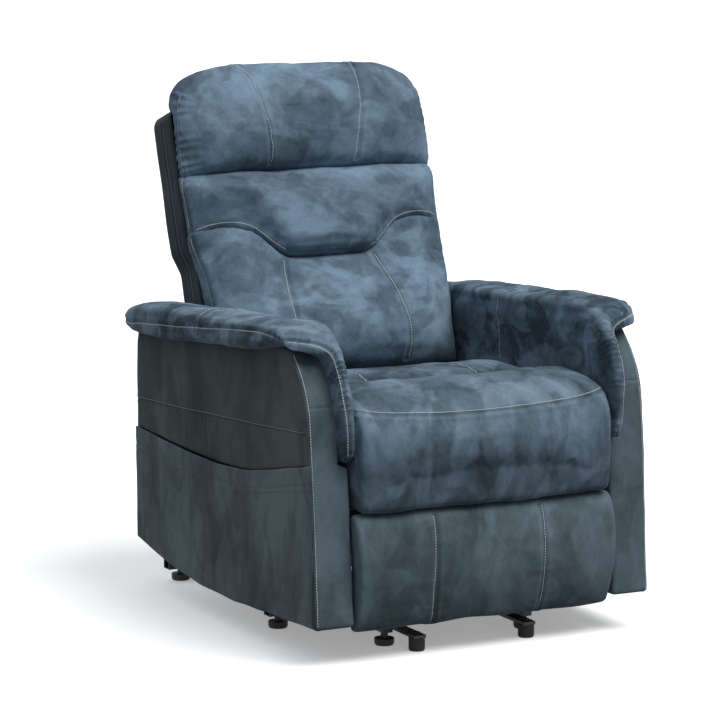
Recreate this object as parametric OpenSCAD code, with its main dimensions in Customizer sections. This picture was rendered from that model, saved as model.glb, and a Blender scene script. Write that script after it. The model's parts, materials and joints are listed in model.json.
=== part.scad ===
// Powered lift recliner chair, millimetres.
// X = sitter's left, -Y = the way the sitter faces, Z = up, floor at Z = 0.
// Side-view points are written [y, z]; points on the back are [w, s] about its hinge.

/* [Show] */
// Sub-part to build; "all" builds the whole chair

/* [Seat and arms] */
// Half width over the outer side panels
arm_out = 357; // [355:1:359]
// Half width between the lower arm fronts
arm_in = 275; // [274:0.5:276]
// Half width over the arm pads
pad_out = 383; // [378:1:390]
// Inner face of the arm pads
pad_in = 270; // [269:0.5:271]
// Half width of the seat cushion
seat_half = 264; // [260:1:265]
// Thickness of the wooden arm frames
arm_frame_t = 42; // [34:1:42]

/* [Back] */
// Lean of the back from vertical when upright, degrees
back_lean = 18.5; // [18:0.5:19]
// Half width of the upper back cushions
back_half = 281; // [274:1:284]
// Half width of the lumbar cushion between the arms
lumbar_half = 262; // [256:1:264]
// Distance from the hinge to the top of the back shell
shell_top = 608; // [600:1:612]
// Depth of the back shell behind the hinge plane
shell_deep = 89; // [80:1:90]
// Wall of the padded back shell
shell_wall = 9; // [6:1:10]

/* [Footrest] */
// Half width of the footrest pad
foot_half = 268; // [260:1:270]
// Thickness of the footrest board
board_t = 12; // [9:1:12]

/* [Steel] */
// Half spacing of the floor rails, to their centres
rail_x = 151; // [150:0.5:151]
// Width of the floor rails
rail_w = 20; // [18:1:20]
// Height of the floor tubes
tube_h = 25; // [22:1:25]
// Depth of the cross tubes
tube_d = 26; // [24:1:28]
// Wall of the floor tubes
tube_wall = 2; // [1.5:0.5:2.5]
// Half length of the cross tubes
cross_half = 292; // [288:1:296]
// Glide diameter
glide_d = 38; // [34:1:40]
// Front foot diameter
foot_d = 31; // [28:1:33]
// Thickness of the footrest links
link_t = 4; // [3:0.5:4]
// Width of the footrest links
link_w = 19; // [16:1:19]
// Width of the lifting arms
arm_w = 34; // [30:1:36]
// Radius of the big pivots
pin_r = 6; // [5:0.5:6]
// Running clearance of the pivots, on radius
run = 0.06; // [0.04:0.01:0.09]

/* [Hidden] */
$fn = 40;
e = 0.3;
floor_gap = 25;          // underside of the floor tubes
tube_top = floor_gap + tube_h;
rail_in = rail_x - rail_w / 2;
rail_out = rail_x + rail_w / 2;
front_glide_y = -320;
mid_y = -103;
rear_y = 365;
bar_x = 118;
bar_w = 25;
bar_t = 6;
bar_foot_y = -388;
glide_x_mid = 268;
glide_x_rear = 260;

// lift four-bar, [y, z]
lift_a0 = [-222, 92];
lift_a1 = [245, 96];
lift_b0 = [-252.4, 144];
lift_b1 = [175, 208];
lift_tube = [-160, 92];
lift_tube_r = 11;
lift_eye = [-202, 182];
lift_foot = [365, 80];
lift_x0 = 166;
lift_x1 = 172;
plate_x0 = 178;
plate_x1 = 182;

// footrest linkage, [y, z]
leg_a0 = [-182, 253];
leg_a1 = [-93, 107];
leg_c1 = [-365, 187];
leg_b0 = [-273.9, 254];
leg_b1 = [-181, 123];
leg_b2 = [-144, 72];
leg_d1 = [-365, 91.9];
leg_eye = [-124, 214];
leg_foot = [170, 150];
leg_xa = 190;
leg_xc = 196;
leg_xb = 202;
leg_xd = 208;
leg_tube_r = 12;
small_r = 5;
boss_h = 0.8;

// back
hinge = [185, 385];
hinge_r = 8;
back_eye = [185, 260];
back_foot = [-240, 190];
back_tube = [185, 300];
back_tube_r = 10;
act_x = 75;              // side spacing of the two chair actuators

front_tube = [-250, 250];
rear_tube = [205, 160];
cross_r = 12;

// wooden seat frame
rail_x0 = 226;
rail_x1 = 262;
deck_z = 284;
bolt_ys = [-225, 45];
bolt_z = 255;
bolt_r = 4;

// right-hand pocket, on the -X side
pocket_in = 336;
pocket_face = 362.2;
pocket_skin = 2.5;
split_z = 373;           // above this the pad covers the arm's inner side
slab_x = 302;

// power unit on the rear cross piece
unit_x0 = -138;
unit_x1 = -48;
unit_y0 = 296;
unit_y1 = 374;
unit_h = 40;

// actuators: motor beside the tube, rod and its clearance, end eyes
motor_off = 40;
motor_r = 18;
shell_r = 17;
rod_r = 7;
rod_gap = 0.5;
eye_r = 12;

// handset and its buttons
handset_y = -275;
handset_z = 260;
handset_w = 50;
handset_h = 140;
handset_x = 353.5;
handset_t = 16;
button_r = 6;
button_h = 3.5;
button_up = 2;
button_dy = 12;
button_z = [308, 276];

// back shell, heights up the back and half widths
neck_s = 150;
wide_s = 300;
shell_low = -60;
shell_half_low = 254;
shell_half = 278;
shell_half_mid = 264;

// footrest board
board_y = -408;
board_half = 255;
board_z = 62;
board_h = 208;

fabric = [0.46, 0.52, 0.59];
fabric_side = [0.38, 0.43, 0.50];
black = [0.08, 0.08, 0.09];
zinc = [0.62, 0.63, 0.65];
wood = [0.72, 0.56, 0.38];
grey = [0.25, 0.26, 0.28];

// ---------------------------------------------------------------- helpers
module side_extrude(x0, x1) translate([x0, 0, 0]) rotate([90, 0, 90]) linear_extrude(x1 - x0) children();
module both() { children(); mirror([1, 0, 0]) children(); }
module on_right(right) { if (right) mirror([1, 0, 0]) children(); else children(); }
module xcyl(p, r, x0, x1) translate([x0, p[0], p[1]]) rotate([0, 90, 0]) cylinder(r = r, h = x1 - x0);
module flat_bar(p, q, w) {
  d = q - p;
  translate(p) rotate(atan2(d[1], d[0])) translate([0, -w / 2 + 1]) square([norm(d), w - 2]);
  translate(p) circle(w / 2);
  translate(q) circle(w / 2);
}
module pin_hole(p, r) translate(p) circle(r);
module on_back() translate([0, hinge[0], hinge[1]]) rotate([-back_lean, 0, 0]) children();

// ---------------------------------------------------------------- floor base
module base_rail(right) color(black) on_right(right) difference() {
  translate([rail_in, front_glide_y - 15, floor_gap])
    cube([rail_w, rear_y + tube_d / 2 - front_glide_y + 15, tube_h]);
  translate([rail_in + tube_wall, front_glide_y - 11, floor_gap + tube_wall])
    cube([rail_w - 2 * tube_wall, rear_y + tube_d / 2 - front_glide_y + 12, tube_h - 2 * tube_wall]);
}
module cross_piece(y, x0, x1) difference() {
  translate([x0, y - tube_d / 2, floor_gap]) cube([x1 - x0, tube_d, tube_h]);
  translate([x0 - 1, y - tube_d / 2 + tube_wall, floor_gap + tube_wall])
    cube([x1 - x0 + 2, tube_d - 2 * tube_wall, tube_h - 2 * tube_wall]);
}
module base_cross(y) {
  cross_piece(y, -rail_in, rail_in);
  both() cross_piece(y, rail_out, cross_half);
}
module base_cross_front() color(black) base_cross(mid_y);
module base_cross_rear() color(black) {
  base_cross(rear_y);
  // ears that carry the lifting actuator
  both() difference() {
    translate([12, 0, 0]) side_extrude(0, 5) {
      translate([rear_y - 13, tube_top]) square([26, lift_foot[1] - tube_top]);
      pin_hole(lift_foot, 13);
    }
    xcyl(lift_foot, pin_r + e, 0, 30);
  }
}
module base_front_bars() color(black) both() difference() {
  translate([bar_x - bar_w / 2, bar_foot_y - 14, floor_gap])
    cube([bar_w, mid_y - tube_d / 2 - bar_foot_y + 14, bar_t]);
  translate([bar_x, bar_foot_y, floor_gap - 1]) cylinder(r = 4.3, h = bar_t + 2);
}
module base_pivot_plates() color(black) both() {
  side_extrude(rail_out, rail_out + 4) {
    flat_bar(lift_a0, lift_b0, 34);
    translate([lift_b0[0] - 17, floor_gap]) square([lift_a0[0] - lift_b0[0] + 34, lift_a0[1] - floor_gap]);
  }
  xcyl(lift_a0, pin_r, rail_out + 4, lift_x1 + 1.5);
  xcyl(lift_b0, pin_r, rail_out + 4, lift_x1 + 1.5);
}
module glide(x, y) translate([x, y, 0]) {
  cylinder(d1 = glide_d - 4, d2 = glide_d, h = 4);
  translate([0, 0, 4]) cylinder(d = glide_d, h = 9);
  translate([0, 0, 13]) cylinder(d = 14, h = floor_gap - 13);
}
module glides() color(black) both() {
  glide(rail_x, front_glide_y);
  glide(glide_x_mid, mid_y);
  glide(glide_x_rear, rear_y);
}
module front_feet() color(black) both() translate([bar_x, bar_foot_y, 0]) {
  cylinder(d1 = foot_d - 3, d2 = foot_d, h = 3);
  translate([0, 0, 3]) cylinder(d = foot_d, h = floor_gap - 3);
  translate([0, 0, floor_gap]) cylinder(r = 4, h = bar_t);
  translate([0, 0, floor_gap + bar_t]) cylinder(r = 7, h = 4, $fn = 6);
}
module power_unit() color(grey) difference() {
  translate([unit_x0, unit_y0, tube_top]) cube([unit_x1 - unit_x0, unit_y1 - unit_y0, unit_h]);
  translate([(unit_x0 + unit_x1) / 2 - 14, unit_y1 - 16, tube_top + 8]) cube([28, 17, 22]);
}
module power_inlet() color(black) translate([(unit_x0 + unit_x1) / 2, unit_y1, tube_top + 19]) {
  difference() {
    translate([-13.7, -15.7, -10.7]) cube([27.4, 17.2, 21.4]);
    translate([-10, -9, -7]) cube([20, 11, 14]);
  }
  for (dx = [-6, 0, 6]) translate([dx - 1, -9.5, dx == 0 ? 0 : -4]) cube([2, 8, 4]);
}

// ---------------------------------------------------------------- lift linkage
module lift_arms() color(black) {
  both() {
    side_extrude(lift_x0, lift_x1) difference() {
      flat_bar(lift_a0, lift_a1, arm_w);
      pin_hole(lift_a0, pin_r + run);
      pin_hole(lift_a1, pin_r + run);
    }
    // lever plates for the actuator
    side_extrude(8, 13) difference() {
      union() {
        flat_bar(lift_tube, lift_eye, 30);
        pin_hole(lift_tube, 20);
      }
      pin_hole(lift_tube, lift_tube_r);
    }
    xcyl(lift_eye, 9, 7.4, 8);
    xcyl(lift_eye, 9, 13, 16);
  }
  xcyl(lift_tube, lift_tube_r, -lift_x0, lift_x0);
}
module lift_link(right) color(black) on_right(right) {
  side_extrude(lift_x0, lift_x1) difference() {
    flat_bar(lift_b0, lift_b1, 30);
    pin_hole(lift_b0, pin_r + run);
  }
  xcyl(lift_b1, 11, lift_x1, lift_x1 + 2.6);
}

// ---------------------------------------------------------------- linear actuators
// drawn along +Y from the fixed eye; bodies stand on a pin, rods end in an eye
module act_body(len, bore_from, turn) rotate([turn, 0, 0]) difference() {
  union() {
    rotate([0, 90, 0]) translate([0, 0, -11]) cylinder(r = eye_r, h = 22);
    translate([-11, 0, -10]) cube([22, 26, 20]);
    translate([-22, 24, -22]) cube([44, 52, 44]);
    translate([0, 70, 0]) rotate([-90, 0, 0]) cylinder(r = shell_r, h = len - 70);
    translate([motor_off, 26, 0]) rotate([-90, 0, 0]) cylinder(r = motor_r, h = 118);
    translate([20, 30, -14]) cube([14, 44, 28]);
  }
  rotate([0, 90, 0]) translate([0, 0, -12]) cylinder(r = pin_r + run, h = 24);
  translate([0, bore_from, 0]) rotate([-90, 0, 0]) cylinder(r = rod_r + rod_gap, h = len);
}
module act_rod(from, to, turn) rotate([turn, 0, 0]) {
  translate([0, from, 0]) rotate([-90, 0, 0]) cylinder(r = rod_r, h = to - from - 10);
  translate([-6, to, 0]) rotate([0, 90, 0]) cylinder(r = eye_r, h = 12);
}
function turn_of(p, q) = atan2(q[1] - p[1], q[0] - p[0]);
module at_pivot(x, p) translate([x, p[0], p[1]]) children();

lift_len = norm(lift_eye - lift_foot);
back_len = norm(back_eye - back_foot);
leg_len = norm(leg_eye - leg_foot);
module lift_motor() color(grey) at_pivot(0, lift_foot) act_body(400, 300, turn_of(lift_foot, lift_eye));
module lift_rod() color(zinc) at_pivot(0, lift_foot) act_rod(305, lift_len, turn_of(lift_foot, lift_eye));
module back_motor() color(grey) at_pivot(-act_x, back_foot) mirror([1, 0, 0])
  act_body(268, 180, turn_of(back_foot, back_eye));
module back_rod() color(zinc) at_pivot(-act_x, back_foot)
  act_rod(256, back_len, turn_of(back_foot, back_eye));
module leg_motor() color(grey) at_pivot(act_x, leg_foot) act_body(235, 95, turn_of(leg_foot, leg_eye));
module leg_rod() color(zinc) at_pivot(act_x, leg_foot) act_rod(100, leg_len, turn_of(leg_foot, leg_eye));

// ---------------------------------------------------------------- chair steelwork
module side_plate(right) color(black) on_right(right) {
  difference() {
    union() {
      side_extrude(plate_x0, plate_x1) polygon([[-296, 268], [150, 268], [198, 226], [272, 112], [268, 78],
        [226, 74], [150, 168], [60, 205], [-150, 215], [-166, 236], [-296, 236]]);
      translate([plate_x0, -110, 219]) cube([rail_x1 - plate_x0, 230, 6]);
    }
    xcyl(leg_a0, leg_tube_r + run, plate_x0 - 1, plate_x1 + 1);
    for (y = bolt_ys) translate([244, y < 0 ? -90 : 100, 218]) cylinder(r = bolt_r + e, h = 8);
  }
  xcyl(lift_a1, pin_r, lift_x0 - 2, plate_x0);
  xcyl(lift_b1, 11, lift_x1 + 3.1, plate_x0);
  xcyl(leg_b0, small_r, plate_x1, leg_xb + link_t + 1.5);
}
module cross_ear(x, p, q) translate([x, 0, 0]) both() side_extrude(12, 17) difference() {
  flat_bar(p, q, 24);
  pin_hole(p, cross_r);
  pin_hole(q, pin_r + e);
}
module cross_tube_front() color(black) difference() {
  union() {
    xcyl(front_tube, cross_r, -plate_x0, plate_x0);
    cross_ear(-act_x, front_tube, back_foot);
  }
  xcyl(front_tube, cross_r - 2, -plate_x0 - 1, plate_x0 + 1);
}
module cross_tube_rear() color(black) difference() {
  union() {
    xcyl(rear_tube, cross_r, -plate_x0, plate_x0);
    cross_ear(act_x, rear_tube, leg_foot);
  }
  xcyl(rear_tube, cross_r - 2, -plate_x0 - 1, plate_x0 + 1);
}
module seat_frame() color(wood) difference() {
  union() {
    both() {
      translate([rail_x0, -392, 225]) cube([rail_x1 - rail_x0, 552, deck_z - 225]);
      // lower behind, where the reclined back comes down
      translate([rail_x0, 160, 225]) cube([rail_x1 - rail_x0, 75, 43]);
      for (y = bolt_ys) translate([rail_x1, y - 25, 232]) cube([arm_in - rail_x1, 50, 46]);
    }
    translate([-rail_x0, -405, 272]) cube([2 * rail_x0, 85, deck_z - 272]);
    translate([-rail_x0, 70, 270]) cube([2 * rail_x0, 20, deck_z - 270]);
    translate([-rail_x0, 212, 225]) cube([2 * rail_x0, 20, 43]);
  }
  both() for (y = bolt_ys) xcyl([y, bolt_z], bolt_r + e, rail_x0 - 1, arm_in + 1);
  both() for (y = [-90, 100]) translate([244, y, 224]) cylinder(r = bolt_r + e, h = 42);
  // notch for the back's actuator rod
  translate([-act_x - 18, 69, 269]) cube([36, 22, 16]);
}
// one sinuous spring, flat in X-Y from the origin along +Y
module zigzag(n, step, half, wire) linear_extrude(wire) for (k = [0 : n]) {
  translate([-half, k * step]) square([2 * half, wire]);
  if (k < n) translate([(k % 2 == 0 ? half : -half) - wire / 2, k * step]) square([wire, step + wire]);
}
module seat_springs() color(zinc) for (x = [-150 : 50 : 150]) {
  translate([x, -318, 278]) zigzag(14, 26, 17, 3.5);
  translate([x - 6, -320, 276]) cube([12, 10, 7.5]);
  translate([x - 6, 45, 276]) cube([12, 25, 7.5]);
}
module hinge_brackets() color(black) both() {
  side_extrude(rail_x1, rail_x1 + 4) {
    flat_bar(hinge, [175, 262], 36);
    translate([120, 228]) square([105, 50]);
  }
  xcyl(hinge, hinge_r, shell_half_low + 0.6, rail_x1);
}
module frame_bolts() color(zinc) both() {
  for (y = bolt_ys) {
    xcyl([y, bolt_z], bolt_r, rail_x0, 305);
    translate([rail_x0 - 5, y, bolt_z]) rotate([0, 90, 0]) cylinder(r = 7.5, h = 5, $fn = 6);
  }
  for (y = [-90, 100]) translate([244, y, 0]) {
    translate([0, 0, 219]) cylinder(r = bolt_r, h = 46);
    translate([0, 0, 214]) cylinder(r = 7.5, h = 5, $fn = 6);
  }
}

// ---------------------------------------------------------------- seat and arms
module seat_cushion() color(fabric) side_extrude(-seat_half, seat_half)
  polygon([[-428, 285], [-440, 290], [-446, 302], [-448, 380], [-442, 446], [-432, 466], [-408, 483],
    [-360, 496], [-290, 500], [-235, 492], [-190, 474], [-140, 480], [-80, 478], [0, 464], [40, 453],
    [75, 436], [112, 418], [115, 340], [84, 300], [68, 285]]);
arm_outline = [[-444, 73], [-436, 190], [-421, 408], [-417, 467], [-404, 506], [-382, 540], [-352, 566],
  [362, 508], [362, 100], [210, 72], [61, 59], [-103, 58], [-222, 64]];
pocket_edge = [[361, 328], [208, 322], [14, 318], [-122, 324], [-407, 374], [-418, 376]];
module arm_cavity() polygon([[-424, 40], [-404, 408], [-400, 460], [-388, 496], [-368, 526], [-345, 548],
  [347, 492], [347, 40]]);
module arm_cover(right) color(fabric_side) on_right(right) difference() {
  side_extrude(arm_in, arm_out) polygon(arm_outline);
  side_extrude(arm_in - 1, slab_x) translate([-460, split_z]) square([900, 300]);
  side_extrude(slab_x - 1, arm_out - 23.5) arm_cavity();
  difference() {
    side_extrude(arm_in + 15, slab_x) arm_cavity();
    side_extrude(arm_in, slab_x + 1) translate([-460, split_z - 14]) square([900, 300]);
  }
  for (y = bolt_ys) xcyl([y, bolt_z], bolt_r + e, arm_in - 1, arm_in + 16);
  if (right) side_extrude(pocket_in, arm_out + 1)
    polygon(concat([[-424, 112], [348, 112], [348, 327]], [for (k = [1 : 4]) pocket_edge[k]],
      [[-413, 375]]));
}
module arm_frame(right) color(wood) on_right(right) {
  x1 = arm_out - 24;
  x0 = x1 - arm_frame_t;
  difference() {
    union() {
      translate([x0, -400, 92]) cube([arm_frame_t, 48, split_z - 16 - 92]);
      translate([x0, 292, 104]) cube([arm_frame_t, 52, split_z - 16 - 104]);
      translate([x0, -352, bolt_z - 25]) cube([arm_frame_t, 644, 50]);
      translate([x0, -352, 92]) cube([arm_frame_t, 644, 38]);
      translate([slab_x + 2, -396, 300]) cube([x1 - slab_x - 2, 44, 168]);
      translate([slab_x + 2, 292, 300]) cube([x1 - slab_x - 2, 52, 185]);
      side_extrude(slab_x + 2, x1) polygon([[-396, 452], [-352, 536], [344, 487], [344, 450]]);
    }
    for (y = bolt_ys) xcyl([y, bolt_z], bolt_r + e, x0 - 1, x0 + 16);
  }
}
module arm_pad(right) color(fabric) on_right(right) {
  side_extrude(pad_in, pad_out) polygon([[-379, 569], [-387, 598], [-362, 621], [-321, 629], [-180, 617],
    [45, 601], [224, 589], [308, 582], [388, 568], [403, 548], [398, 518], [362, 509], [-352, 567]]);
  side_extrude(pad_in, slab_x - e) polygon([[-432, split_z + 1], [-452, 388], [-458, 420], [-455, 455],
    [-442, 489], [-414, 560], [-381, 592], [-352, 600], [362, 530], [362, split_z + 1]]);
}
module side_pocket() color(fabric_side) mirror([1, 0, 0]) difference() {
  side_extrude(arm_out, pocket_face + pocket_skin) polygon(concat([[-436, 100], [361, 100]], pocket_edge));
  side_extrude(arm_out - 1, pocket_face)
    polygon([[-424, 112], [348, 112], [348, 340], [208, 334], [14, 330], [-122, 336], [-413, 388]]);
}

// ---------------------------------------------------------------- handset in the pocket
module handset() color(grey) mirror([1, 0, 0]) difference() {
  union() {
    translate([handset_x - handset_t, handset_y - handset_w / 2, handset_z - handset_h / 2])
      cube([handset_t, handset_w, handset_h]);
    xcyl([handset_y, handset_z - handset_h / 2], handset_w / 2, handset_x - handset_t, handset_x);
  }
  for (s = [-1, 1]) for (z = button_z)
    xcyl([handset_y + s * button_dy, z], button_r + e, handset_x - button_h, handset_x + 1);
}
module button(s, k) color([0.75, 0.76, 0.78]) mirror([1, 0, 0])
  xcyl([handset_y + s * button_dy, button_z[k]], button_r, handset_x - button_h + button_up,
    handset_x + button_up);

// ---------------------------------------------------------------- back, drawn as [w, s] about the hinge
module back_outline(inset, low) polygon([[-shell_half_low + inset, low],
  [-shell_half_low + inset, neck_s], [-shell_half_mid + inset, neck_s + 20],
  [-shell_half_mid + inset, wide_s - 20], [-shell_half + inset, wide_s + 20],
  [-shell_half + inset, shell_top - inset - 40], [-shell_half + inset + 12, shell_top - inset - 12],
  [-shell_half + inset + 40, shell_top - inset], [shell_half - inset - 40, shell_top - inset],
  [shell_half - inset - 12, shell_top - inset - 12], [shell_half - inset, shell_top - inset - 40],
  [shell_half - inset, wide_s + 20], [shell_half_mid - inset, wide_s - 20],
  [shell_half_mid - inset, neck_s + 20], [shell_half_low - inset, neck_s], [shell_half_low - inset, low]]);
// local frame of the back: X, w along +Y, s along +Z
module face_extrude(w0, w1) translate([0, w1, 0]) rotate([90, 0, 0]) linear_extrude(w1 - w0) children();
module back_shell() color(fabric_side) on_back() difference() {
  face_extrude(-6, shell_deep) back_outline(0, shell_low);
  face_extrude(-7, shell_deep - shell_wall) back_outline(shell_wall, shell_low - 5);
}
module back_frame() color(wood) on_back() {
  both() translate([205, 2, -50]) cube([39, 40, shell_top + 30]);
  for (s = [-50, 280, shell_top - 72]) translate([-205, 2, s]) cube([410, 40, 52]);
}
module back_springs() color(zinc) on_back() for (x = [-150 : 60 : 150], upper = [false, true])
  translate([x, 24, upper ? 334 : 4]) rotate([90, 0, 0]) zigzag(upper ? 8 : 11, 24, 17, 3.5);
module back_brackets() color(black) both() difference() {
  on_back() side_extrude(shell_half_low, shell_half_low + 6) {
    flat_bar([0, 0], [18, 130], 28);
    flat_bar([0, 0], [27, -80.6], 29);
  }
  xcyl(hinge, hinge_r + run, shell_half_low - 1, shell_half_low + 7);
}
module back_lever_tube() color(black) {
  xcyl(back_tube, back_tube_r, -shell_half_low, shell_half_low);
  translate([-act_x, 0, 0]) both() {
    side_extrude(8, 13) flat_bar(back_tube, back_eye, 26);
    xcyl(back_eye, 9, 7.4, 8);
    xcyl(back_eye, 9, 13, 16);
  }
}
module lumbar_cushion() color(fabric) on_back() side_extrude(-lumbar_half, lumbar_half)
  polygon([[-8, 46], [-92, 38], [-122, 46], [-136, 66], [-143, 100], [-137, 140], [-112, 190], [-80, 246],
    [-68, 277], [-8, 277]]);
module middle_cushion() color(fabric) on_back() {
  side_extrude(-264, 264) polygon([[-8, 280], [-66, 280], [-76, 310], [-76, 322], [-8, 322]]);
  side_extrude(-back_half, back_half)
    polygon([[-8, 322], [-76, 322], [-84, 345], [-88, 390], [-80, 435], [-56, 462], [-8, 462]]);
}
module head_cushion() color(fabric) on_back() side_extrude(-back_half, back_half)
  polygon([[-8, 466], [-56, 466], [-84, 500], [-94, 560], [-87, 618], [-66, 660], [-40, 684], [-14, 690],
    [8, 686], [20, 670], [20, shell_top + 6], [-8, shell_top + 6]]);

// ---------------------------------------------------------------- footrest linkage
module leg_plate(x) side_extrude(x, x + link_t) children();
module leg_arms() color(zinc) {
  both() {
    leg_plate(leg_xa) flat_bar(leg_a0, leg_a1, link_w);
    xcyl(leg_a1, small_r, leg_xa + link_t, leg_xc + link_t + 1);
  }
  xcyl(leg_a0, leg_tube_r, -leg_xa, leg_xa);
  translate([act_x, 0, 0]) both() {
    side_extrude(8, 13) flat_bar(leg_a0, leg_eye, 26);
    xcyl(leg_eye, 9, 7.4, 8);
    xcyl(leg_eye, 9, 13, 16);
  }
}
module leg_link_b(right) color(zinc) on_right(right) {
  leg_plate(leg_xb) difference() {
    flat_bar(leg_b0, leg_b2, link_w);
    pin_hole(leg_b0, small_r + run);
  }
  xcyl(leg_b1, small_r + 2, leg_xb - boss_h, leg_xb);
  xcyl(leg_b2, small_r, leg_xb + link_t, leg_xd + link_t + 1);
}
module leg_link_c(right) color(zinc) on_right(right) {
  leg_plate(leg_xc) difference() {
    union() {
      flat_bar(leg_a1, leg_c1, link_w);
      flat_bar(leg_a1, leg_b1, link_w);
    }
    pin_hole(leg_a1, small_r + run);
    pin_hole(leg_c1, small_r + run);
  }
  xcyl(leg_b1, small_r + 2, leg_xc + link_t, leg_xc + link_t + boss_h);
}
module leg_link_d(right) color(zinc) on_right(right) {
  leg_plate(leg_xd) difference() {
    flat_bar(leg_b2, leg_d1, link_w);
    pin_hole(leg_b2, small_r + run);
  }
  xcyl(leg_d1, small_r + 2, leg_xd - boss_h, leg_xd);
}

// ---------------------------------------------------------------- footrest
module footrest_board() color(wood) translate([-board_half, board_y, board_z])
  cube([2 * board_half, board_t, board_h]);
module footrest_brackets() color(zinc) both() {
  leg_plate(leg_xb) polygon([[board_y + board_t, 74], [board_y + board_t, 206], [-372, 206],
    [-354, 194], [-354, 84], [-362, 74]]);
  translate([leg_xb - 22, board_y + board_t, 74]) cube([22, 3, 132]);
  xcyl(leg_c1, small_r, leg_xc - 1, leg_xb);
  xcyl(leg_d1, small_r + 2, leg_xb + link_t, leg_xb + link_t + boss_h);
}
module footrest_pad() color(fabric) side_extrude(-foot_half, foot_half)
  polygon([[board_y, 58], [-430, 55.5], [-448, 64], [-458, 100], [-462, 165], [-458, 225], [-450, 262],
    [-436, 276], [board_y, 276]]);

// ---------------------------------------------------------------- build
base_rail(false);  // base_rail_left
base_rail(true);  // base_rail_right
base_cross_front();
base_cross_rear();
base_front_bars();
base_pivot_plates();
glides();
front_feet();
power_unit();
power_inlet();
lift_arms();
lift_link(false);  // lift_link_left
lift_link(true);  // lift_link_right
lift_motor();
lift_rod();
side_plate(false);  // side_plate_left
side_plate(true);  // side_plate_right
cross_tube_front();
cross_tube_rear();
seat_frame();
seat_springs();
seat_cushion();
hinge_brackets();
frame_bolts();
arm_frame(false);  // arm_frame_left
arm_frame(true);  // arm_frame_right
arm_cover(false);  // arm_cover_left
arm_cover(true);  // arm_cover_right
arm_pad(false);  // arm_pad_left
arm_pad(true);  // arm_pad_right
side_pocket();
handset();
button(-1, 0);  // button_back_up
button(-1, 1);  // button_back_down
button(1, 0);  // button_seat_up
button(1, 1);  // button_seat_down
back_frame();
back_springs();
back_brackets();
back_lever_tube();
back_shell();
head_cushion();
middle_cushion();
lumbar_cushion();
back_motor();
back_rod();
leg_arms();
leg_link_b(false);  // leg_link_b_left
leg_link_b(true);  // leg_link_b_right
leg_link_c(false);  // leg_link_c_left
leg_link_c(true);  // leg_link_c_right
leg_link_d(false);  // leg_link_d_left
leg_link_d(true);  // leg_link_d_right
leg_motor();
leg_rod();
footrest_board();
footrest_brackets();
footrest_pad();
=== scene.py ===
import json
import math

import bpy
import numpy as np
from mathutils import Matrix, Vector
from mathutils.bvhtree import BVHTree


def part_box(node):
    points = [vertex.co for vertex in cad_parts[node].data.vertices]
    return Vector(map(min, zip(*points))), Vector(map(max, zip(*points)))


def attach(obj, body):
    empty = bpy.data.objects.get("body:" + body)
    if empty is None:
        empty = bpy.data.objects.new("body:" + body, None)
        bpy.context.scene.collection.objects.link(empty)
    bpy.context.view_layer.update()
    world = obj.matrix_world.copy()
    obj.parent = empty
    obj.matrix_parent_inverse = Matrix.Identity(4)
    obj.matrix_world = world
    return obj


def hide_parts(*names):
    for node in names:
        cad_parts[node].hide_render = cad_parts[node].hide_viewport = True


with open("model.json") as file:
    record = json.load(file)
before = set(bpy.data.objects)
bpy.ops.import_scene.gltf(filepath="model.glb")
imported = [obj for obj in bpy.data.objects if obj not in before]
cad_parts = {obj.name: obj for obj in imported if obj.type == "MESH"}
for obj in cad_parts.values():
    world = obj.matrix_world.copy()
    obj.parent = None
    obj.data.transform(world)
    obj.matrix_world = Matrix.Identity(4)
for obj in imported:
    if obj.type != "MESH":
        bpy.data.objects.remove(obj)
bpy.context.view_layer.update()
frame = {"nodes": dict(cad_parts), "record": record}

# Sizes are in millimetres up to the point where a mesh is made, in the CAD frame:
# X to the sitter's left, -Y the way the sitter faces, Z up from the floor.
MM = 0.001
LEAN = math.radians(18.5)
HINGE = np.array([185.0, 385.0])


BACK_HALF = 281

# ------------------------------------------------------------------ small maths
def smoothstep(a, b, x):
    t = np.clip((x - a) / (b - a), 0, 1)
    return t * t * (3 - 2 * t)


def spline(points, step):
    """A Catmull-Rom curve through the points, sampled about every step."""
    p = np.array(points, float)
    p = np.vstack([2 * p[0] - p[1], p, 2 * p[-1] - p[-2]])
    out = []
    for i in range(1, len(p) - 2):
        n = max(2, int(np.linalg.norm(p[i + 1] - p[i]) / step))
        t = np.arange(n)[:, None] / n
        a, b, c, d = p[i - 1], p[i], p[i + 1], p[i + 2]
        square, cube = 2 * a - 5 * b + 4 * c - d, 3 * b - a - 3 * c + d
        out.append(0.5 * (2 * b + (c - a) * t + square * t**2 + cube * t**3))
    return np.vstack(out + [p[-2][None]])


def resample(p, step, closed=False):
    """The same line with even spacing."""
    q = np.vstack([p, p[:1]]) if closed else p
    d = np.r_[0, np.cumsum(np.linalg.norm(np.diff(q, axis=0), axis=1))]
    n = max(3, int(round(d[-1] / step)))
    t = np.linspace(0, d[-1], n + 1)
    if closed:
        t = t[:-1]
    return np.stack([np.interp(t, d, q[:, k]) for k in range(q.shape[1])], 1)


def rounded(points, passes=3):
    """A closed outline with its corners cut round."""
    p = np.array(points, float)
    for _ in range(passes):
        q = np.roll(p, -1, 0)
        p = np.stack([0.78 * p + 0.22 * q, 0.22 * p + 0.78 * q], 1).reshape(-1, 2)
    return p


def inward(p):
    """Unit normals that point into a closed outline."""
    t = np.roll(p, -1, 0) - np.roll(p, 1, 0)
    n = np.stack([-t[:, 1], t[:, 0]], 1)
    n /= np.linalg.norm(n, axis=1)[:, None] + 1e-9
    x, y = p[:, 0], p[:, 1]
    area = np.sum(x * np.roll(y, -1) - np.roll(x, -1) * y)
    return n if area > 0 else -n


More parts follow.
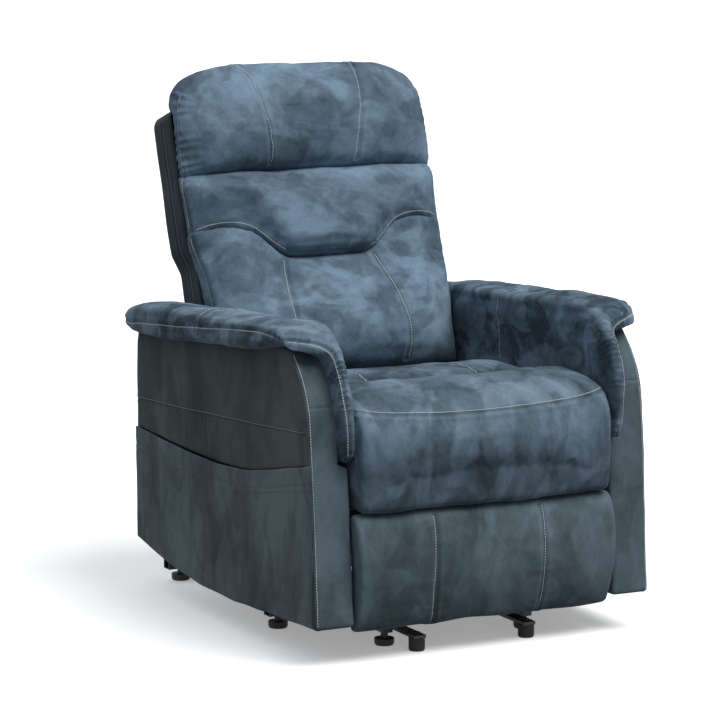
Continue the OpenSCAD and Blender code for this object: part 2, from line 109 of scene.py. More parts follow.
def back_point(x, w, s):
    """A point of the back, from its own axes: w rearward and s up along it, from the hinge."""
    y = HINGE[0] + s * math.sin(LEAN) + w * math.cos(LEAN)
    z = HINGE[1] + s * math.cos(LEAN) - w * math.sin(LEAN)
    return np.stack(np.broadcast_arrays(x, y, z), -1)


BACKWARD = back_point(0, 1, 0) - back_point(0, 0, 0)


# ------------------------------------------------------------------ meshes
def make(name, verts, faces, smooth=True):
    me = bpy.data.meshes.new(name)
    me.from_pydata((np.array(verts) * MM).tolist(), [], faces)
    me.validate()
    me.update()
    ob = bpy.data.objects.new(name, me)
    bpy.context.scene.collection.objects.link(ob)
    if smooth:
        me.polygons.foreach_set("use_smooth", [True] * len(me.polygons))
    return ob


def join_parts(parts):
    verts, faces, base = [], [], 0
    for v, f in parts:
        verts.append(np.array(v))
        faces += [tuple(i + base for i in face) for face in f]
        base += len(v)
    return np.vstack(verts), faces


def loft(rings):
    """A closed solid through rings of equal length, with flat ends."""
    n, m = len(rings), len(rings[0])
    faces = [tuple(range(m))[::-1], tuple((n - 1) * m + i for i in range(m))]
    for i in range(n - 1):
        for j in range(m):
            k = (j + 1) % m
            faces.append((i * m + j, i * m + k, (i + 1) * m + k, (i + 1) * m + j))
    return np.vstack(rings), faces


def side_block(outline, x0, x1, r, step=9):
    """A block with a side outline in (y, z) between x0 and x1, its two side faces rounded by r."""
    p = resample(np.array(outline, float), step, closed=True)
    n = inward(p)
    rings = []
    ends = [(x0, 1), (x1, -1)]
    angles = np.linspace(0, math.pi / 2, 5)
    stations = [(ends[0][0] + r * (1 - math.sin(a)), r * (1 - math.cos(a))) for a in angles[::-1]]
    stations += [(x, 0) for x in np.linspace(x0 + r, x1 - r, max(3, int((x1 - x0) / 24)))[1:-1]]
    stations += [(ends[1][0] - r * (1 - math.sin(a)), r * (1 - math.cos(a))) for a in angles]
    for x, inset in stations:
        q = p + n * inset
        rings.append(np.column_stack([np.full(len(q), x), q[:, 0], q[:, 1]]))
    return loft(rings)


def coords(ob):
    co = np.empty(len(ob.data.vertices) * 3)
    ob.data.vertices.foreach_get("co", co)
    return co.reshape(-1, 3) / MM


def put(ob, co):
    ob.data.vertices.foreach_set("co", (co * MM).ravel())
    ob.data.update()


def normals(ob):
    n = np.empty(len(ob.data.vertices) * 3)
    ob.data.vertices.foreach_get("normal", n)
    return n.reshape(-1, 3)


def bake(ob):
    """Applies every modifier."""
    dg = bpy.context.evaluated_depsgraph_get()
    me = bpy.data.meshes.new_from_object(ob.evaluated_get(dg))
    ob.modifiers.clear()
    old = ob.data
    ob.data = me
    bpy.data.meshes.remove(old)
    me.polygons.foreach_set("use_smooth", [True] * len(me.polygons))
    return ob


def remesh(ob, voxel, relax=6):
    m = ob.modifiers.new("voxels", "REMESH")
    m.mode = "VOXEL"
    m.voxel_size = voxel * MM
    s = ob.modifiers.new("relax", "SMOOTH")
    s.factor = 0.5
    s.iterations = relax
    return bake(ob)


def refine(ob):
    m = ob.modifiers.new("refine", "SUBSURF")
    m.levels = m.render_levels = 1
    return bake(ob)


def near(co, path, reach):
    """Vertices within reach of a path: their index, distance and nearest path point."""
    lo, hi = path.min(0) - reach, path.max(0) + reach
    idx = np.nonzero(np.all((co > lo) & (co < hi), 1))[0]
    dist = np.empty(len(idx))
    which = np.empty(len(idx), int)
    for a in range(0, len(idx), 3000):
        d = np.linalg.norm(co[idx[a : a + 3000], None] - path[None], axis=2)
        which[a : a + 3000] = d.argmin(1)
        dist[a : a + 3000] = d.min(1)
    keep = dist < reach
    return idx[keep], dist[keep], which[keep]


def trace(ob, points, aim=None, step=3.0):
    """Lays a curve through points onto the surface: nearest, or along the direction aim."""
    co = np.array(points, float)
    line = spline(co, step) if len(co) < 60 else co
    faces = [tuple(p.vertices) for p in ob.data.polygons]
    tree = BVHTree.FromPolygons([Vector(v) for v in coords(ob)], faces)
    found, normal = [], []
    for p in line:
        if aim is None:
            hit = tree.find_nearest(Vector(p))
        else:
            d = Vector(aim).normalized()
            hit = tree.ray_cast(Vector(p) - d * 300, d)
        if hit[0] is not None:
            found.append(hit[0][:])
            normal.append(hit[1][:])
    return evened(np.array(found)), evened(np.array(normal))


def evened(line, passes=6):
    """The same line with its small jogs smoothed away."""
    p = np.array(line)
    for _ in range(passes):
        p[1:-1] = 0.5 * p[1:-1] + 0.25 * (p[:-2] + p[2:])
    return p


def crease(ob, path, width, depth, puff=0.0, gather=0.0, pitch=14.0, length=26.0, phase=0.0):
    """Pulls a seam into the surface, with fuller shoulders and gathers beside it if asked."""
    co, n = coords(ob), normals(ob)
    reach = max(width * 4, length * 2.2 if gather else 0)
    idx, d, k = near(co, path, reach)
    push = -depth * np.exp(-((d / width) ** 2)) + puff * np.exp(-(((d - 2.4 * width) / (1.2 * width)) ** 2))
    if gather:
        arc = np.r_[0, np.cumsum(np.linalg.norm(np.diff(path, axis=0), axis=1))][k]
        drift = 1.7 * np.sin(arc / 31 + phase) + 0.9 * np.sin(arc / 9.7)
        wave = np.sin(2 * math.pi * arc / pitch + phase + drift)
        amount = 0.65 + 0.35 * np.sin(arc / 23 + 2 * phase)
        push += gather * wave * amount * np.exp(-d / length) * smoothstep(0, 5, d)
    co[idx] += n[idx] * push[:, None]
    put(ob, co)


SIM_FRAMES = 20
MOST_INWARD = -0.5


def inflate(ob, pressure, cap, hold=None):
    """Cloth simulation: the cover swells under pressure, held along its seams."""
    start, n = coords(ob), normals(ob)
    group = ob.vertex_groups.new(name="hold")
    if hold is not None:
        for w in (0.25, 0.5, 0.75, 1.0):
            which = np.nonzero((hold > w - 0.125) & (hold <= w + 0.125))[0]
            group.add([int(i) for i in which], w, "REPLACE")
    cloth = ob.modifiers.new("cloth", "CLOTH")
    c = cloth.settings
    c.quality = 4
    c.mass = 0.25
    c.use_pressure = True
    c.uniform_pressure_force = pressure
    c.effector_weights.gravity = 0
    c.tension_stiffness = c.compression_stiffness = 18
    c.shear_stiffness = 8
    c.bending_stiffness = 1.2
    if hold is not None:
        c.vertex_group_mass = "hold"
        c.pin_stiffness = 6
    cloth.collision_settings.use_collision = False
    cloth.point_cache.frame_start = 1
    cloth.point_cache.frame_end = SIM_FRAMES
    for f in range(1, SIM_FRAMES + 1):
        bpy.context.scene.frame_set(f)
    bake(ob)
    bpy.context.scene.frame_set(1)
    end = coords(ob)
    move = end - start
    size = np.linalg.norm(move, axis=1)
    move *= np.minimum(1, cap / np.maximum(size, 1e-6))[:, None]
    # the filling behind the cloth lets it swell but not draw in
    out = (move * n).sum(axis=1)
    move += n * (out.clip(MOST_INWARD) - out)[:, None]
    put(ob, start + move)
    ob.vertex_groups.clear()


def held_near(co, paths, reach):
    """Pin weights: 1 on the seams, falling to 0 at reach."""
    w = np.zeros(len(co))
    for p in paths:
        idx, d, _ = near(co, p, reach)
        w[idx] = np.maximum(w[idx], 1 - d / reach)
    return w


def ripple(ob, size, amount, seed, mask=None):
    """Low, soft unevenness of stuffed cloth, from a few crossed waves."""
    rng = np.random.RandomState(seed)
    co, n = coords(ob), normals(ob)
    h = np.zeros(len(co))
    for _ in range(9):
        k = rng.normal(size=3)
        k *= 2 * math.pi / (size * rng.uniform(0.6, 1.6)) / np.linalg.norm(k)
        h += np.sin(co @ k + rng.uniform(0, 6.28))
    h *= amount / 3
    if mask is not None:
        h *= mask(co)
    put(ob, co + n * h[:, None])


def thread(name, runs, body, material, length=4.0, pitch=5.4, radius=0.85, lift=0.45):
    """Stitches: short threads laid along runs of (points, normals), all in one piece."""
    sides, rings = 6, [(-1.0, 0.35), (-0.8, 0.9), (0.8, 0.9), (1.0, 0.35)]
    verts, faces = [], []
    for p, n in runs:
        d = np.r_[0, np.cumsum(np.linalg.norm(np.diff(p, axis=0), axis=1))]
        for c in np.arange(pitch, d[-1] - pitch, pitch):
            a = np.array([np.interp(c - length / 2, d, p[:, k]) for k in range(3)])
            b = np.array([np.interp(c + length / 2, d, p[:, k]) for k in range(3)])
            m = np.array([np.interp(c, d, n[:, k]) for k in range(3)])
            t = b - a
            t /= np.linalg.norm(t) + 1e-9
            m -= t * (m @ t)
            m /= np.linalg.norm(m) + 1e-9
            side = np.cross(t, m)
            mid = (a + b) / 2 + m * lift
            base = len(verts)
            for u, r in rings:
                for j in range(sides):
                    g = 2 * math.pi * j / sides
                    spoke = math.cos(g) * side + 0.7 * math.sin(g) * m
                    verts.append(mid + t * u * length / 2 + radius * r * spoke)
            faces.append(tuple(base + j for j in range(sides))[::-1])
            faces.append(tuple(base + 3 * sides + j for j in range(sides)))
            for i in range(3):
                for j in range(sides):
                    k = (j + 1) % sides
                    at = base + i * sides
                    faces.append((at + j, at + k, at + sides + k, at + sides + j))
    ob = make(name, verts, faces)
    ob.data.materials.append(material)
    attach(ob, body)
    return ob


def beside(run, offset, ob):
    """A run moved sideways over the surface."""
    p, n = run
    t = np.gradient(p, axis=0)
    t /= np.linalg.norm(t, axis=1)[:, None] + 1e-9
    side = np.cross(n, t)
    q, m = trace(ob, resample(p + side * offset, 3.0))
    return q, m


# ------------------------------------------------------------------ materials
def node_material(name):
    mat = bpy.data.materials.new(name)
    mat.use_nodes = True
    nt = mat.node_tree
    return mat, nt, nt.nodes["Principled BSDF"]


def texture_coords(nt, scale=(1, 1, 1)):
    tc = nt.nodes.new("ShaderNodeTexCoord")
    mp = nt.nodes.new("ShaderNodeMapping")
    mp.inputs["Scale"].default_value = scale
    nt.links.new(tc.outputs["Object"], mp.inputs["Vector"])
    return mp.outputs["Vector"]


def noise(nt, vector, scale, detail=4, rough=0.55, distortion=0.0):
    n = nt.nodes.new("ShaderNodeTexNoise")
    n.inputs["Scale"].default_value = scale
    n.inputs["Detail"].default_value = detail
    n.inputs["Roughness"].default_value = rough
    n.inputs["Distortion"].default_value = distortion
    nt.links.new(vector, n.inputs["Vector"])
    return n.outputs["Fac"]


def ramp(nt, value, stops):
    r = nt.nodes.new("ShaderNodeValToRGB")
    while len(r.color_ramp.elements) < len(stops):
        r.color_ramp.elements.new(0.5)
    for el, (pos, col) in zip(r.color_ramp.elements, stops):
        el.position = pos
        el.color = (*col, 1) if len(col) == 3 else col
    nt.links.new(value, r.inputs["Fac"])
    return r.outputs["Color"]


def mix(nt, fac, a, b, blend="MIX"):
    m = nt.nodes.new("ShaderNodeMix")
    m.data_type = "RGBA"
    m.blend_type = blend
    for sock, v in ((m.inputs[0], fac), (m.inputs[6], a), (m.inputs[7], b)):
        if isinstance(v, bpy.types.NodeSocket):
            nt.links.new(v, sock)
        elif isinstance(v, tuple):
            sock.default_value = (*v, 1) if len(v) == 3 else v
        else:
            sock.default_value = v
    return m.outputs[2]


def maths(nt, op, a, b):
    m = nt.nodes.new("ShaderNodeMath")
    m.operation = op
    for sock, v in ((m.inputs[0], a), (m.inputs[1], b)):
        if isinstance(v, bpy.types.NodeSocket):
            nt.links.new(v, sock)
        else:
            sock.default_value = v
    return m.outputs[0]


def bump(nt, bsdf, height, strength, distance):
    b = nt.nodes.new("ShaderNodeBump")
    b.inputs["Strength"].default_value = strength
    b.inputs["Distance"].default_value = distance
    nt.links.new(height, b.inputs["Height"])
    nt.links.new(b.outputs["Normal"], bsdf.inputs["Normal"])


def suede(name, dark, light, sweep=(1, 1, 1), contrast=1.0):
    """Brushed microfibre: nap laid in light and dark strokes, with a fine fibre grain."""
    mat, nt, bsdf = node_material(name)
    wide = texture_coords(nt, sweep)
    even = texture_coords(nt)
    broad = noise(nt, wide, 4.2, 3, 0.5, 0.5)
    strokes = noise(nt, wide, 12.0, 4, 0.62, 0.9)
    # hard-edged strokes, where a hand has pushed the nap the other way
    swept = ramp(nt, noise(nt, wide, 8.5, 2, 0.45, 1.1), [(0.47, (0, 0, 0)), (0.53, (1, 1, 1))])
    both = maths(nt, "ADD", maths(nt, "MULTIPLY", broad, 0.55), maths(nt, "MULTIPLY", strokes, 0.45))
    both = maths(nt, "ADD", both, maths(nt, "MULTIPLY", maths(nt, "SUBTRACT", swept, 0.5), 0.07 * contrast))
    fine = noise(nt, wide, 55.0, 4, 0.7, 0.6)
    both = maths(nt, "ADD", both, maths(nt, "MULTIPLY", maths(nt, "SUBTRACT", fine, 0.5), 0.17))
    mid = tuple(0.55 * a + 0.45 * b for a, b in zip(dark, light))
    spread = 0.16 / contrast
    nap = ramp(nt, both, [(0.5 - spread, dark), (0.5, mid), (0.5 + spread, light)])
    grain = noise(nt, even, 420.0, 3, 0.7)
    speck = ramp(nt, grain, [(0.3, (0.84, 0.84, 0.84)), (0.7, (1.12, 1.12, 1.12))])
    colour = mix(nt, 1.0, nap, speck, "MULTIPLY")
    nt.links.new(colour, bsdf.inputs["Base Color"])
    rough = ramp(nt, both, [(0.35, (0.96, 0.96, 0.96)), (0.65, (0.82, 0.82, 0.82))])
    nt.links.new(rough, bsdf.inputs["Roughness"])
    bsdf.inputs["Specular IOR Level"].default_value = 0.12
    bsdf.inputs["Sheen Weight"].default_value = 0.22
    bsdf.inputs["Sheen Roughness"].default_value = 0.4
    bsdf.inputs["Sheen Tint"].default_value = (0.5, 0.62, 0.78, 1)
    fold = noise(nt, even, 30.0, 3, 0.5, 0.4)
    height = maths(nt, "ADD", maths(nt, "MULTIPLY", grain, 0.22), maths(nt, "MULTIPLY", fold, 0.7))
    bump(nt, bsdf, height, 0.3, 0.0012)
    return mat


def thread_material(name, dark, light):
    mat, nt, bsdf = node_material(name)
    v = texture_coords(nt)
    col = ramp(nt, noise(nt, v, 900.0, 2), [(0.3, dark), (0.7, light)])
    nt.links.new(col, bsdf.inputs["Base Color"])
    bsdf.inputs["Roughness"].default_value = 0.7
    bump(nt, bsdf, noise(nt, v, 2600.0, 2), 0.3, 0.0003)
    return mat


def coated_steel():
    mat, nt, bsdf = node_material("coated_steel")
    v = texture_coords(nt)
    col = ramp(nt, noise(nt, v, 30.0, 5), [(0.35, (0.012, 0.012, 0.013)), (0.7, (0.03, 0.03, 0.032))])
    nt.links.new(col, bsdf.inputs["Base Color"])
    rough = ramp(nt, noise(nt, v, 60.0, 4), [(0.3, (0.32, 0.32, 0.32)), (0.7, (0.5, 0.5, 0.5))])
    nt.links.new(rough, bsdf.inputs["Roughness"])
    bsdf.inputs["Specular IOR Level"].default_value = 0.5
    bump(nt, bsdf, noise(nt, v, 850.0, 2), 0.18, 0.0004)
    return mat


def bare_steel(name, tint, rough_low, rough_high, streak):
    mat, nt, bsdf = node_material(name)
    v = texture_coords(nt, streak)
    fac = noise(nt, v, 110.0, 5, 0.65)
    low = tuple(0.8 * c for c in tint)
    nt.links.new(ramp(nt, fac, [(0.3, low), (0.7, tint)]), bsdf.inputs["Base Color"])
    rough = ramp(nt, fac, [(0.3, (rough_low,) * 3), (0.7, (rough_high,) * 3)])
    nt.links.new(rough, bsdf.inputs["Roughness"])
    bsdf.inputs["Metallic"].default_value = 1.0
    bump(nt, bsdf, fac, 0.12, 0.0003)
    return mat


def moulded(name, dark, light, rough, grain_scale, depth):
    mat, nt, bsdf = node_material(name)
    v = texture_coords(nt)
    nt.links.new(ramp(nt, noise(nt, v, 24.0, 4), [(0.35, dark), (0.65, light)]), bsdf.inputs["Base Color"])
    bsdf.inputs["Roughness"].default_value = rough
    bump(nt, bsdf, noise(nt, v, grain_scale, 2), 0.25, depth)
    return mat


def timber():
    mat, nt, bsdf = node_material("timber")
    v = texture_coords(nt, (1.0, 0.12, 1.0))
    fac = noise(nt, v, 60.0, 6, 0.6, 1.2)
    col = ramp(nt, fac, [(0.3, (0.30, 0.17, 0.08)), (0.55, (0.48, 0.31, 0.16)), (0.75, (0.6, 0.42, 0.24))])
    nt.links.new(col, bsdf.inputs["Base Color"])
    bsdf.inputs["Roughness"].default_value = 0.6
    bump(nt, bsdf, fac, 0.3, 0.0006)
    return mat


SUEDE = suede("suede_cushion", (0.046, 0.071, 0.094), (0.178, 0.262, 0.352), (1, 1, 1.3), 1.1)
SUEDE_SEAT = suede("suede_seat", (0.036, 0.054, 0.068), (0.155, 0.222, 0.290), (1.1, 0.8, 0.7), 1.2)
SUEDE_FOOT = suede("suede_foot", (0.050, 0.072, 0.084), (0.135, 0.186, 0.220), (1.1, 0.8, 0.7), 1.1)
SUEDE_ARM = suede("suede_arm", (0.028, 0.045, 0.060), (0.155, 0.222, 0.290), (1.3, 1.1, 1.4), 1.4)
SUEDE_FRONT = suede("suede_front", (0.040, 0.060, 0.071), (0.108, 0.150, 0.180), (1.1, 0.8, 0.7), 1.0)
# the side panels' copy of the suede is darker than the front panels' copy: painted shade, as the sides face
# away from the light
SUEDE_SIDE_SHADED = suede("suede_side", (0.040, 0.050, 0.049), (0.082, 0.101, 0.098), (1.0, 1.2, 0.6), 1.1)
SUEDE_POCKET = suede("suede_pocket", (0.052, 0.068, 0.070), (0.138, 0.174, 0.180), (1.0, 1.2, 0.6), 1.1)
SUEDE_SHELL = suede("suede_shell", (0.028, 0.037, 0.040), (0.056, 0.072, 0.078), (1.0, 1.0, 0.6))
THREAD = thread_material("thread", (0.48, 0.50, 0.50), (0.74, 0.76, 0.75))
OLIVE_THREAD = thread_material("olive_thread", (0.20, 0.21, 0.17), (0.32, 0.33, 0.27))
DARK_THREAD = thread_material("dark_thread", (0.030, 0.038, 0.042), (0.045, 0.055, 0.062))
STEEL = coated_steel()
ZINC = bare_steel("zinc_plate", (0.60, 0.61, 0.63), 0.32, 0.5, (1, 6, 1))
BRIGHT = bare_steel("bright_steel", (0.70, 0.70, 0.72), 0.16, 0.3, (1, 9, 1))
GLIDE = moulded("glide_plastic", (0.012, 0.012, 0.012), (0.03, 0.03, 0.03), 0.55, 500.0, 0.0004)
RUBBER = moulded("foot_rubber", (0.010, 0.010, 0.010), (0.022, 0.022, 0.022), 0.8, 700.0, 0.0005)
HOUSING = moulded("housing_plastic", (0.03, 0.032, 0.035), (0.06, 0.062, 0.066), 0.5, 900.0, 0.0003)
INLET = moulded("inlet_plastic", (0.008, 0.008, 0.008), (0.016, 0.016, 0.016), 0.22, 300.0, 0.0001)
KEYS = moulded("key_plastic", (0.38, 0.40, 0.43), (0.46, 0.48, 0.5), 0.45, 600.0, 0.0002)
TIMBER = timber()
CAD_MATERIALS = {"base_steel": STEEL, "bright_steel": BRIGHT, "link_zinc": ZINC, "glide_plastic": GLIDE,
                 "foot_rubber": RUBBER, "housing_plastic": HOUSING, "inlet_plastic": INLET,
                 "button_plastic": KEYS, "frame_wood": TIMBER, "suede_light": SUEDE,
                 "suede_side": SUEDE_SIDE_SHADED}


def finish_piece(ob, body, material, replaced):
    ob.data.materials.clear()
    ob.data.materials.append(material)
    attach(ob, body)
    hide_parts(*replaced)


# ------------------------------------------------------------------ seat cushion
def seat():
    half = 266.0
    outline = rounded([(-400, 281), (-448, 280), (-458, 286), (-461, 330), (-462, 385), (-457, 440),
                       (-444, 466), (-412, 486), (-345, 499), (-290, 501), (-240, 495), (-190, 482),
                       (-140, 480), (-70, 474), (0, 462), (60, 444), (108, 418), (112, 345), (80, 300),
                       (60, 286), (-200, 286)], 2)
    ob = make("seat_cushion_cover", *side_block(outline, -half, half, 9))
    remesh(ob, 6, 4)
    co = coords(ob)
    side = np.abs(co[:, 0]) / half
    top = smoothstep(400, 480, co[:, 2])
    co[:, 2] -= top * 8 * side**6
    front = smoothstep(-400, -445, co[:, 1])
    co[:, 1] += front * 4 * side**6
    co[:, 1] -= front * 4 * (1 - side**2) * np.sin(np.clip((co[:, 2] - 290) / 170, 0, 1) * math.pi)
    put(ob, co)
    xs = np.linspace(-half + 3, half - 3, 90)
    front_seam = np.column_stack([xs, np.full(90, -600.0), 453 + 15 * (np.abs(xs) / 262) ** 2.0])
    seam, _ = trace(ob, front_seam, aim=(0, 1, 0))
    half_valley = [(262, -176, 600), (215, -192, 600), (150, -216, 600), (80, -234, 600)]
    valley_pts = [(-x, y, z) for x, y, z in half_valley] + [(0, -238, 600)] + half_valley[::-1]
    valley, _ = trace(ob, spline(valley_pts, 6), aim=(0, 0, -1))
    inflate(ob, 4.0, 9, held_near(coords(ob), [seam, valley], 16))
    refine(ob)
    crease(ob, valley, 36, 23)
    crease(ob, valley, 7, 3.0, gather=1.1, pitch=34, length=38, phase=0.6)
    seam, _ = trace(ob, front_seam, aim=(0, 1, 0))
    crease(ob, seam, 3.4, 2.6, 0.8, gather=0.5, pitch=22, length=18)
    runs = [beside(trace(ob, front_seam, aim=(0, 1, 0)), 5.5, ob)]
    for s in (-1, 1):
        line = [(s * 106, -90, 600), (s * 114, -150, 600), (s * 117, -200, 600), (s * 114, -244, 600)]
        short, _ = trace(ob, spline(line, 6), aim=(0, 0, -1))
        crease(ob, short, 4.0, 3.0, 0.8, gather=0.6, pitch=20, length=18)
        runs.append(beside(trace(ob, short), 4 * s, ob))
    ripple(ob, 150, 1.6, 11)
    ripple(ob, 48, 0.35, 12)
    # the arms press the sides flat
    co = coords(ob)
    co[:, 0] = np.clip(co[:, 0], -271, 271)
    put(ob, co)
    finish_piece(ob, "chair", SUEDE_SEAT, ["seat_cushion"])
    thread("seat_stitches", [trace(ob, p) for p, _ in runs], "chair", THREAD)


# ------------------------------------------------------------------ back
def bustle_s(x):
    """Height up the back of the curved seam between the middle and lumbar cushions."""
    return np.interp(np.abs(x), [0, 84, 100, 118, 138, 158, 180, 210, 250, 300],
                     [281, 281, 286, 301, 321, 337, 345, 350, 347, 334])


def seam_w(x):
    """How far forward the two cushions stand where they are sewn together, on the wings."""
    return np.interp(np.abs(x), [88, 120, 160, 200, 240, 262, 281], [-70, -71, -69, -65, -56, -47, -34])


def wing(x):
    return smoothstep(84, 128, np.abs(x))


def slab_faces(nu, nv):
    """The faces of a closed slab: an nu by nv grid in front, the same behind, and its rim."""
    faces, n = [], nu * nv
    for j in range(nv - 1):
        for i in range(nu - 1):
            a = j * nu + i
            faces.append((a, a + 1, a + nu + 1, a + nu))
            faces.append((n + a, n + a + nu, n + a + nu + 1, n + a + 1))
    edge = list(range(nu)) + [j * nu + nu - 1 for j in range(1, nv)]
    edge += [(nv - 1) * nu + i for i in range(nu - 2, -1, -1)] + [j * nu for j in range(nv - 2, 0, -1)]
    for k, a in enumerate(edge):
        b = edge[(k + 1) % len(edge)]
        faces.append((b, a, n + a, n + b))
    return faces


def back_slab(front, s_low, s_high, half, back_w=-8.0, nu=72, nv=46):
    """A closed slab of the back: front(u, v) gives the front face's w, over x = u half(s)."""
    u = np.sin(np.linspace(-1, 1, nu) * math.pi / 2)
    v = np.linspace(0, 1, nv)
    uu, vv = np.meshgrid(u, v)
    x0 = uu * BACK_HALF
    s = s_low(x0) + (s_high(x0) - s_low(x0)) * vv
    x = uu * half(s)
    w = front(x / half(s), s, vv)
    face = back_point(x, w, s).reshape(-1, 3)
    rear = back_point(x, np.full_like(w, back_w), s).reshape(-1, 3)
    return np.vstack([face, rear]), slab_faces(nu, nv)


def back_half(s):
    return np.interp(s, [0, 150, 250, 330, 700], [259, 261, 266, 280, 281])


def lumbar():
    def front(u, s, v):
        x = u * back_half(s)
        mid = np.interp(s, [36, 50, 75, 105, 140, 190, 246, 275, 310, 366],
                        [-84, -112, -134, -143, -138, -116, -84, -72, -72, -68])
        rim = np.interp(s, [36, 60, 200, 260, 300, 366], [-56, -64, -64, -60, -46, -34])
        w = rim + (mid - rim) * (1 - np.abs(u) ** 4)
        w += (seam_w(x) - w) * wing(x) * smoothstep(70, 0, bustle_s(x) - s)
        roll = np.clip((1 - v) / 0.07, 0, 1) ** 0.5
        return w * (1 - (0.30 - 0.29 * wing(x)) * (1 - roll))

    def top(x):
        return bustle_s(x) + 1 + 6 * smoothstep(244, 278, np.abs(x))

    ob = make("lumbar_cushion_cover", *back_slab(front, lambda x: 40 + 0 * x, top, back_half))
    remesh(ob, 6, 5)
    lines = []
    for sx in (-1, 1):
        places = [(98, -120, 274), (108, -160, 235), (117, -190, 180), (121, -200, 110), (120, -200, 48)]
        lines.append(spline([back_point(sx * x, w, s) for x, w, s in places], 6))
    seams = [trace(ob, p, aim=BACKWARD)[0] for p in lines]
    hold = held_near(coords(ob), seams, 14)
    inflate(ob, 4.0, 8, hold)
    refine(ob)
    runs = []
    for k, p in enumerate(lines):
        seam, _ = trace(ob, p, aim=BACKWARD)
        crease(ob, seam, 4.0, 4.0, 1.4, gather=0.5, pitch=24, length=20, phase=k)
        runs.append(beside(trace(ob, p, aim=BACKWARD), 4.5 if k else -4.5, ob))
    runs += side_seams(ob, [(338, -30), (294, -38), (240, -48), (180, -54), (90, -54)])
    ripple(ob, 160, 1.6, 21)
    ripple(ob, 50, 0.35, 22)
    finish_piece(ob, "back", SUEDE, ["lumbar_cushion"])
    thread("lumbar_stitches", [trace(ob, p) for p, _ in runs], "back", THREAD)
    return ob


def middle():
    def front(u, s, v):
        x = u * back_half(s)
        mid = np.interp(s, [281, 295, 315, 350, 395, 430, 450, 464],
                        [-80, -88, -92, -92, -92, -86, -72, -50])
        rim = np.interp(s, [281, 340, 365, 440, 464], [-50, -34, -34, -38, -26])
        w = rim + (mid - rim) * (1 - np.abs(u) ** 5)
        w += (seam_w(x) - w) * wing(x) * smoothstep(80, 0, s - bustle_s(x))
        low = np.clip(v / 0.09, 0, 1) ** 0.5
        top = np.clip((1 - v) / 0.10, 0, 1) ** 0.5
        under = 1 - (0.26 - 0.255 * wing(x)) * (1 - low)
        return w * under * (1 - 0.26 * (1 - top) * (1 - np.abs(u) ** 7))

    def bottom(x):
        return bustle_s(x) - 1 - 8 * smoothstep(244, 278, np.abs(x))

    ob = make("middle_cushion_cover", *back_slab(front, bottom, lambda x: 465 + 0 * x, back_half))
    remesh(ob, 6, 5)
    inflate(ob, 4.0, 6, None)
    refine(ob)
    xs = np.linspace(-278, 278, 120)
    # the cover is sewn over the bustle seam: the stitches run just above it at the sides
    lo, _ = trace(ob, np.array([back_point(x, -150, float(bustle_s(x)) + 3) for x in xs]), aim=BACKWARD)
    crease(ob, lo, 5, 0.0, 0.0, gather=0.9, pitch=30, length=30, phase=0.3)
    runs = side_seams(ob, [(462, -28), (400, -30), (348, -30)])
    for sx in (-1, 1):
        xs = np.linspace(sx * 277, sx * 90, 70)
        pts = np.array([back_point(x, -150, float(bustle_s(x)) + 8) for x in xs])
        runs.append(trace(ob, pts, aim=BACKWARD))
    hem = np.array([back_point(x, -150, 288.0) for x in np.linspace(-86, 86, 40)])
    under, _ = trace(ob, hem, aim=BACKWARD)
    ripple(ob, 150, 1.6, 31)
    ripple(ob, 50, 0.35, 32)
    finish_piece(ob, "back", SUEDE, ["middle_cushion"])
    thread("middle_stitches", [trace(ob, p) for p, _ in runs], "back", THREAD)
    thread("bustle_stitches", [trace(ob, under)], "back", DARK_THREAD)
    return ob


def side_seams(ob, places, gather=0.0):
    """The stitched seams down both sides of a back cushion, through (s, w) places."""
    runs = []
    for sx in (-1, 1):
        path = spline([back_point(sx * 330, w, s) for s, w in places], 4)
        line, _ = trace(ob, path, aim=(-sx, 0, 0))
        # the far side's gathers are slacker
        slack = 0.7 - 0.3 * sx
        crease(ob, line, 4.0, 2.4, 0.8, gather=gather * slack, pitch=17, length=24, phase=1.0 + sx)
        run = trace(ob, path, aim=(-sx, 0, 0))
        runs.append(beside(run, 4 * sx, ob))
    return runs


